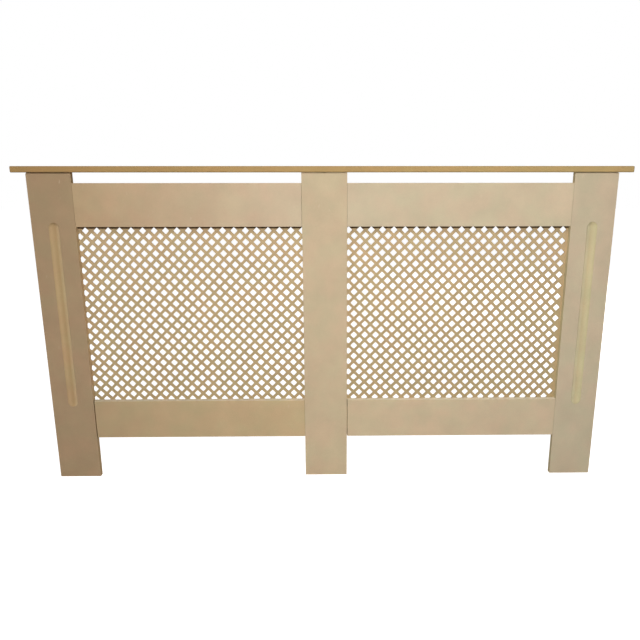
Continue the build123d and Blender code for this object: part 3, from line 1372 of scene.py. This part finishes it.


# The tints from end to end paint in part how the light falls off along each board
FRAME_BOARDS = {
    "left_stile": FrameBoard(
        BoardColours(
            srgb(178, 151, 119),
            srgb(186, 157, 116),
            end=tint(0.9, 0.9, 0.88),
            # Painted shade on its inner side above the top rail's top, under the shelf, and below
            # the bottom rail's top
            scorch=0.75,
            clean=(0.216, 0.775),
            scorched_way=1.0,
            under=0.9,
            looks_left=tint(1.32, 1.42, 1.6),
            looks_right=tint(1.16, 1.18, 1.26),
        ),
        shadow=2.0 * MM,
    ),
    "right_stile": FrameBoard(
        BoardColours(
            srgb(206, 188, 159),
            srgb(206, 189, 150),
            tint(1.0, 1.02, 1.03),
            # Painted shade on its inner side above the top rail's top, under the shelf, and below
            # the bottom rail's top
            scorch=0.8,
            clean=(0.216, 0.775),
            scorched_way=-1.0,
            under=1.04,
            looks_left=tint(0.98, 1.03, 1.03),
            looks_right=tint(1.25, 1.3, 1.43),
        ),
        shadow=1.2 * MM,
    ),
    "centre_stile": FrameBoard(
        BoardColours(PLAIN_FACE, PLAIN_CUT, tint(1.04), tint(0.98)), shadow=0.35 * MM
    ),
    "top_rail_left": FrameBoard(
        BoardColours(
            PLAIN_FACE, PLAIN_CUT, tint(0.82, 0.73, 0.65), tint(1.05, 1.04, 1.1), **RAIL_EDGES
        ),
        (0.25 * MM, 0.45 * MM),
    ),
    "bottom_rail_left": FrameBoard(
        BoardColours(
            srgb(205, 180, 140), PLAIN_CUT, tint(0.82, 0.8, 0.8), tint(0.99), **RAIL_EDGES
        ),
        (1.5 * MM, 0.3 * MM),
    ),
    "top_rail_right": FrameBoard(
        BoardColours(
            srgb(208, 190, 160), PLAIN_CUT, tint(0.97, 0.97, 0.98), tint(1.04), **RAIL_EDGES
        ),
        (0.2 * MM, 0.25 * MM),
    ),
    "bottom_rail_right": FrameBoard(
        BoardColours(PLAIN_FACE, PLAIN_CUT, tint(1.06), tint(1.09, 1.1, 1.14), **RAIL_EDGES),
        (1.6 * MM, 0.25 * MM),
    ),
}


@dataclass
class FrontFrame(Boards):
    """Three stiles and four rails, flush in front and butted together over biscuits."""

    flute: Flute = field(default_factory=Flute)
    saw_radius: float = 50.0 * MM
    saw_steps: int = 96
    slot_depth: float = 12.5 * MM
    slot_thickness: float = 4.2 * MM
    gap_depth: float = 5.0 * MM  # of the shadow gaps and the nick
    nick_width: float = 7.0 * MM  # of the nick in the centre stile's top edge
    nick_height: float = 1.5 * MM
    rubbed: float = 2.0 * MM  # how far the bottom rails' upper front edge is rubbed round
    boards: dict[str, FrameBoard] = field(default_factory=lambda: dict(FRAME_BOARDS))

    def build(self) -> list[Piece]:
        """Makes and dresses every board of the frame.

        Returns:
            One piece for each board.
        """
        return [
            self.piece(node, Axis.Y, self.blank(node), own.colours, self.cutters(node))
            for node, own in self.boards.items()
        ]

    def cutters(self, node: str) -> list[Solid]:
        """What is cut out of a board, by its place in the frame.

        Args:
            node: The board's CAD node.

        Returns:
            The forms to cut out.
        """
        low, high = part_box(node)
        for hand in Hand:
            if node == f"{hand.word}_stile":
                bottom, top = hand.bay()[2:]
                flute = self.flute.cutter((low.x + high.x) / 2, low.y, bottom, top)
                slots = self.saw_cuts(hand.inner(node), hand.value)
                return [flute, *slots, self.shadow_gap(node)]
        own = []
        if node == "centre_stile":
            own = [self.nick(), self.shadow_gap(node), *self.pilots(node)]
        return own + self.saw_cuts(low.x, 1) + self.saw_cuts(high.x, -1)

    def blank(self, node: str) -> Solid:
        """A board the size of its node with every sharp edge eased.

        Args:
            node: The CAD node it stands for.

        Returns:
            The board's solid.
        """
        low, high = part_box(node)
        left, right = self.boards[node].seams
        outline = rectangle((low.x + left, low.z), (high.x - right, high.z))
        solid = prism(outline, low.y, high.y, Axis.Y)
        for vert in solid.verts:
            if vert.co.y > (low.y + high.y) / 2:
                vert.co.x = low.x if vert.co.x < (low.x + high.x) / 2 else high.x
        if node.startswith("bottom"):
            middle = Vector((low.x + high.x, 2 * low.y, 2 * high.z)) / 2
            upper = [
                edge
                for edge in solid.edges
                if (sum((vert.co for vert in edge.verts), Vector()) / 2 - middle).length
                < self.arris * 2
            ]
            ease(solid, upper, self.rubbed, faces=4)
        ease(solid, sharp_edges(solid), self.arris, faces=2)
        return solid

    def saw_cuts(self, joint: float, into: int) -> list[Solid]:
        """The biscuit slots that a board gets at one joint.

        Args:
            joint: The joint's place along X.
            into: 1 where the board lies to the joint's right, else -1.

        Returns:
            One saw blade at each rail's level.
        """
        blades = []
        for rail in ("top_rail_left", "bottom_rail_left"):
            low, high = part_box(rail)
            centre = Vector((low + high) / 2)
            centre.x = joint + into * (self.slot_depth - self.saw_radius)
            half = Vector((0, self.slot_thickness / 2, 0))
            blades.append(rod(centre - half, centre + half, self.saw_radius, self.saw_steps))
        return blades

    def shadow_gap(self, node: str) -> Solid:
        """The narrow gap under the shelf at the front of a stile.

        Args:
            node: The stile's CAD node.

        Returns:
            The form to cut out.
        """
        low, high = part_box(node)
        room = self.gap_depth
        bottom = high.z - self.boards[node].shadow
        outline = rectangle((low.y - room, bottom), (low.y + room, high.z + room))
        return prism(outline, low.x - room, high.x + room, Axis.X)

    def nick(self) -> Solid:
        """The small nick in the centre stile's top edge.

        Returns:
            The form to cut out.
        """
        low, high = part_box("centre_stile")
        half, depth = self.nick_width / 2, self.nick_height
        # From its left, in halves of its width and in heights
        lines = ((-1, -0.5), (-0.6, -1), (0.7, -1), (1, -0.5), (1, 1), (-1, 1))
        outline = [(half * across, high.z + depth * up) for across, up in lines]
        return prism(outline, low.y - self.gap_depth, low.y + self.gap_depth, Axis.Y)


@dataclass
class Shelf(Boards):
    """The shelf, with rounded front corners and eased front and end edges."""

    corner: float = 4.0 * MM  # radius of the front corners in plan
    edge: float = 2.5 * MM  # radius along the front and end edges
    # Its lower edge is painted in shade, and its tints from end to end paint in part how the light
    # falls off
    colours: BoardColours = BoardColours(
        PLAIN_FACE, srgb(184, 154, 106), tint(0.85, 0.77, 0.68), tint(1.1, 1.12, 1.08), under=0.45
    )

    def build(self) -> list[Piece]:
        """Makes and dresses the shelf.

        Returns:
            The one piece.
        """
        low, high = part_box("shelf")
        outline = rectangle((low.x, low.y), (high.x, high.y))
        solid = prism(outline, low.z, high.z, Axis.Z)
        uprights = [edge for edge in solid.edges if self.rises(edge) and edge.verts[0].co.y < 0]
        ease(solid, uprights, self.corner, faces=8)
        rims = [
            edge
            for edge in solid.edges
            if not self.rises(edge)
            and min(vert.co.y for vert in edge.verts) < high.y - self.corner
        ]
        ease(solid, rims, self.edge, faces=6)
        return [self.piece("shelf", Axis.Z, solid, self.colours, self.pilots("shelf"))]

    def rises(self, edge: bmesh.types.BMEdge) -> bool:
        """Whether an edge stands upright."""
        return abs(edge.verts[0].co.z - edge.verts[1].co.z) > self.edge


@dataclass
class Sides(Boards):
    """Side panels with their skirting notches, and the battens in the front corners."""

    skirting_height: float = 110.0 * MM
    skirting_depth: float = 20.0 * MM
    panel_colours: BoardColours = BoardColours(srgb(203, 182, 150), srgb(204, 180, 136))
    batten_colours: BoardColours = BoardColours(srgb(198, 174, 138), srgb(202, 178, 134))

    def build(self) -> list[Piece]:
        """Makes and dresses both panels and both battens.

        Returns:
            The four pieces.
        """
        pieces = []
        for hand in Hand:
            pieces.append(self.panel(f"side_panel_{hand.word}"))
            pieces.append(self.batten(f"corner_batten_{hand.word}"))
        return pieces

    def panel(self, node: str) -> Piece:
        """One side panel.

        Args:
            node: Its CAD node.

        Returns:
            The panel.
        """
        low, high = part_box(node)
        notch, shoulder = high.y - self.skirting_depth, self.skirting_height
        outline = [(low.y, low.z), (notch, low.z), (notch, shoulder), (high.y, shoulder)]
        outline += [(high.y, high.z), (low.y, high.z)]
        solid = prism(outline, low.x, high.x, Axis.X)
        ease(solid, solid.edges[:], self.arris, faces=2)
        return self.piece(node, Axis.X, solid, self.panel_colours, self.pilots(node))

    def batten(self, node: str) -> Piece:
        """One corner batten.

        Args:
            node: Its CAD node.

        Returns:
            The batten.
        """
        low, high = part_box(node)
        solid = prism(rectangle((low.x, low.y), (high.x, high.y)), low.z, high.z, Axis.Z)
        ease(solid, solid.edges[:], self.arris, faces=2)
        return self.piece(node, Axis.X, solid, self.batten_colours)


# ---------------------------------------------------------------- grilles


@dataclass
class Grille:
    """A thin sheet behind one bay, perforated with square holes that stand on a corner."""

    hand: Hand
    across: float  # how far one hole's centre lies from the bay's middle
    up: float  # how far it lies above the bay's middle
    right_margin: float  # how far the holed field runs past the bay's right joint
    pitch: float = 20.17 * MM
    hole: float = 12.6 * MM
    corner: float = 0.4 * MM  # radius in a hole's corners
    corner_steps: int = 2
    field_lap: float = 8.0 * MM  # how far the holed field runs behind the frame elsewhere
    bare_top: float = 5.4 * MM  # how far below the bay's top the holed field stops
    weld: float = 0.01 * MM
    # Colour of the painted shadow on the sheet's bare top, under the top rail
    glue: Colour = srgb(92, 72, 48)
    marks: float = 0.3  # strength of the specks and scratches
    # Darker towards the bottom and lighter towards the top, in part painted fall-off of the light
    colours: BoardColours = BoardColours(
        srgb(193, 169, 129), srgb(150, 122, 84), tint(0.96, 0.965, 0.94), tint(1.07, 1.05, 1.08)
    )

    def build(self) -> Piece:
        """Makes and dresses the sheet.

        Returns:
            The one piece.
        """
        node = f"grille_{self.hand.word}"
        low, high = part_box(node)
        left, right, bottom, top = self.hand.bay()
        field_top = top - self.bare_top

        tree = ModellingTree("perforated_sheet")
        sheet_low, sheet_high, field_low, field_high, first_hole = tree.sizes(
            "Vector",
            Sheet_Low=(low.x, low.z, 0.0),
            Sheet_High=(high.x, high.z, 0.0),
            Field_Low=(left - self.field_lap, bottom - self.field_lap, 0.0),
            Field_High=(right + self.right_margin, field_top, 0.0),
            Hole_Centre=((left + right) / 2 + self.across, (bottom + top) / 2 + self.up, 0.0),
        )
        thickness, back, pitch, hole, corner = tree.sizes(
            "Float",
            Thickness=high.y - low.y,
            Back=high.y,
            Pitch=self.pitch,
            Hole_Side=self.hole,
            Hole_Corner=self.corner,
        )
        (rows,) = tree.sizes("Int", Rows=2 * math.ceil((high.x - low.x) / self.pitch) + 1)

        # A square lattice of points about one hole, turned to stand on a corner
        span = tree.maths("MULTIPLY", pitch, tree.maths("SUBTRACT", rows, 1.0))
        lattice = tree.add("GeometryNodeMeshGrid", span, span, rows, rows)
        on_corner = (0.0, 0.0, QUARTER_TURN / 2)
        turned = tree.moved(lattice, Translation=first_hole, Rotation=on_corner)
        place = tree.add("GeometryNodeInputPosition")
        above = tree.vector("SUBTRACT", place, field_low)
        below = tree.vector("SUBTRACT", field_high, place)
        room = tree.parts(tree.vector("MINIMUM", above, below))
        outside = tree.maths("LESS_THAN", tree.maths("MINIMUM", room[0], room[1]), 0.0)
        kept = tree.add("GeometryNodeDeleteGeometry", turned, outside, domain="POINT")

        # One hole's outline on every point, and the sheet's own outline round them all
        square = tree.add("GeometryNodeCurvePrimitiveQuadrilateral", hole, hole)
        rounded = tree.add(
            "GeometryNodeFilletCurve", square, self.corner_steps, corner, mode="POLY"
        )
        holes = tree.on_points(kept, Instance=rounded, Rotation=on_corner)
        extent = tree.parts(tree.vector("SUBTRACT", sheet_high, sheet_low))
        border = tree.add("GeometryNodeCurvePrimitiveQuadrilateral", extent[0], extent[1])
        centre = tree.vector("SCALE", tree.vector("ADD", sheet_low, sheet_high))
        tree.fill(centre, Scale=0.5)
        centred = tree.moved(border, Translation=centre)
        outlines = tree.add("GeometryNodeRealizeInstances", tree.joined(holes, centred))
        flat = tree.add("GeometryNodeFillCurve", outlines)

        # The flat figure is given its thickness, closed behind, and stood upright behind the bay
        raised = tree.add("GeometryNodeExtrudeMesh", flat, mode="FACES")
        tree.fill(raised, Offset_Scale=thickness, Individual=False)
        closed = tree.joined(raised, tree.add("GeometryNodeFlipFaces", flat))
        welded = tree.fill(tree.add("GeometryNodeMergeByDistance", closed), Distance=self.weld)
        stood = tree.moved(welded, Rotation=(QUARTER_TURN, 0.0, 0.0))
        depth = tree.add("ShaderNodeCombineXYZ", 0.0, back, 0.0)

        band = GluedBand(field_top, self.glue)
        look = BoardFinish(node, Axis.Y, self.colours, Axis.Z, self.marks, band)
        carrier = in_scene(f"{node}_sheet", bpy.data.meshes.new(node))
        sheet = tree.run(tree.moved(stood, Translation=depth), look.material(), carrier)
        return Piece(sheet, node, Slot.GRILLE_BOARD)


def dress_biscuits() -> None:
    """Gives the biscuits, which stay the frame's own solids, their beech."""
    beech = BeechFinish(srgb(208, 172, 128), srgb(166, 122, 80)).material("pressed_beech")
    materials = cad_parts["rail_biscuits"].data.materials
    materials.clear()
    materials.append(beech)
    log.info("rail_biscuits are dressed")


# ---------------------------------------------------------------- studio


@dataclass(frozen=True)
class SoftLamp:
    """A square soft lamp."""

    name: str
    place: Point3
    target: Point3
    side: float
    power: float  # in watts

    def build(self) -> None:
        """Hangs the lamp in the scene."""
        data = bpy.data.lights.new(self.name, "AREA")
        data.shape = "SQUARE"
        data.size = self.side
        data.energy = self.power
        lamp = in_scene(self.name, data)
        lamp.location = self.place
        lamp.rotation_mode = "QUATERNION"
        aim = Vector(self.target) - Vector(self.place)
        lamp.rotation_quaternion = aim.to_track_quat("-Z", "Y")


@dataclass
class Studio:
    """The floor, the lamps and the camera at the photograph's angle."""

    eye: Point3 = (0.0119, -1.8467, 0.801)
    turn: Point3 = (0.2746, -0.0161, -0.0049)  # pitch, roll and yaw from looking level
    focal_px: float = 693.46
    centre_px: Point2 = (341.27, 367.31)  # where the optical axis meets the picture
    sensor_mm: float = 36.0
    far: float = 60.0  # how far the camera sees
    lamps: tuple[SoftLamp, ...] = (
        SoftLamp("key_lamp", (0.14, -1.74, 1.22), (0.04, -0.09, 0.48), 0.15, 14.2),
        SoftLamp("window_lamp", (-4.0, -2.6, 1.6), (0.0, -0.09, 0.45), 1.6, 25.0),
        SoftLamp("ceiling_lamp", (0.0, -1.9, 2.6), (0.0, -0.2, 0.4), 0.4, 20.0),
        SoftLamp("back_lamp", (2.8, 2.9, 1.8), (0.0, 0.1, 0.4), 1.6, 60.0),
    )
    room_light: float = 0.12  # strength of the even light from all round
    floor_size: float = 14.0
    floor_tone: float = 0.8
    floor_glow: float = 0.93  # the floor's white that shadow doesn't dim, to the camera

    def build(self) -> None:
        """Places the camera, the lamps, the floor and the room."""
        self.camera()
        for lamp in self.lamps:
            lamp.build()
        self.floor()
        self.room()

    def camera(self) -> None:
        """Places the camera as measured from the photograph's straight edges."""
        data = bpy.data.cameras.new("photo_camera")
        data.sensor_width = self.sensor_mm
        data.sensor_fit = "HORIZONTAL"
        data.lens = self.sensor_mm * self.focal_px / PICTURE_SIDE_PX
        data.shift_x = 0.5 - self.centre_px[0] / PICTURE_SIDE_PX
        data.shift_y = self.centre_px[1] / PICTURE_SIDE_PX - 0.5
        data.clip_end = self.far
        camera = in_scene("photo_camera", data)
        pitch, roll, yaw = self.turn
        turned = Matrix.Rotation(yaw, 3, "Z") @ Matrix.Rotation(roll, 3, "Y")
        turned = turned @ Matrix.Rotation(pitch, 3, "X")
        # Its rows are the camera's right, down and forward, measured right, down and forward
        right, down, forward = (Vector((row[0], row[2], -row[1])) for row in turned)
        basis = Matrix((right, -down, -forward)).transposed()
        camera.matrix_world = Matrix.Translation(self.eye) @ basis.to_4x4()
        bpy.context.scene.camera = camera

    @staticmethod
    def seen_directly(graph: NodeGraph) -> Socket:
        """1 for what the camera sees, straight or in a mirror or through glass.

        Args:
            graph: The material's or world's nodes.

        Returns:
            The value's socket.
        """
        path = graph.add("ShaderNodeLightPath").outputs
        seen = graph.maths("MAXIMUM", path["Is Camera Ray"], path["Is Glossy Ray"])
        return graph.maths("MAXIMUM", seen, path["Is Transmission Ray"])

    def floor(self) -> None:
        """Lays a plain pale floor that keeps the cabinet's shadow."""
        solid = bmesh.new()
        bmesh.ops.create_grid(solid, x_segments=1, y_segments=1, size=self.floor_size)
        floor = finished(solid, "studio_floor")
        graph = MaterialGraph("pale_floor")
        matt = graph.add("ShaderNodeBsdfDiffuse", tint(self.floor_tone))
        glow = graph.maths("MULTIPLY", self.seen_directly(graph), self.floor_glow)
        white = graph.add("ShaderNodeEmission", EVEN, glow)
        graph.add("ShaderNodeOutputMaterial", graph.add("ShaderNodeAddShader", matt, white))
        floor.data.materials.append(graph.made)

    def room(self) -> None:
        """Makes an even dim room that looks white to the camera."""
        world = bpy.data.worlds.new("plain_room")
        bpy.context.scene.world = world
        world.use_nodes = True
        graph = NodeGraph(world.node_tree)
        seen, dim = self.seen_directly(graph), self.room_light
        level = graph.maths("MULTIPLY_ADD", seen, 1.0 - dim, dim)
        graph.add("ShaderNodeOutputWorld", graph.add("ShaderNodeBackground", EVEN, level))


def main() -> None:
    """Builds the cabinet's pieces in order, then the studio."""
    logging.basicConfig(level=logging.INFO, format="%(message)s")
    pieces = Shelf().build() + FrontFrame().build() + Sides().build()
    pieces.append(Grille(Hand.LEFT, 8.5 * MM, 2.4 * MM, 8.0 * MM).build())
    pieces.append(Grille(Hand.RIGHT, -4.9 * MM, 3.8 * MM, -8.5 * MM).build())
    pieces += Staples().build() + Brackets().build() + Screws().build()
    for piece in pieces:
        piece.settle()
    dress_biscuits()
    Studio().build()
    bpy.context.scene.view_settings.view_transform = "Standard"


if __name__ == "__main__":
    main()
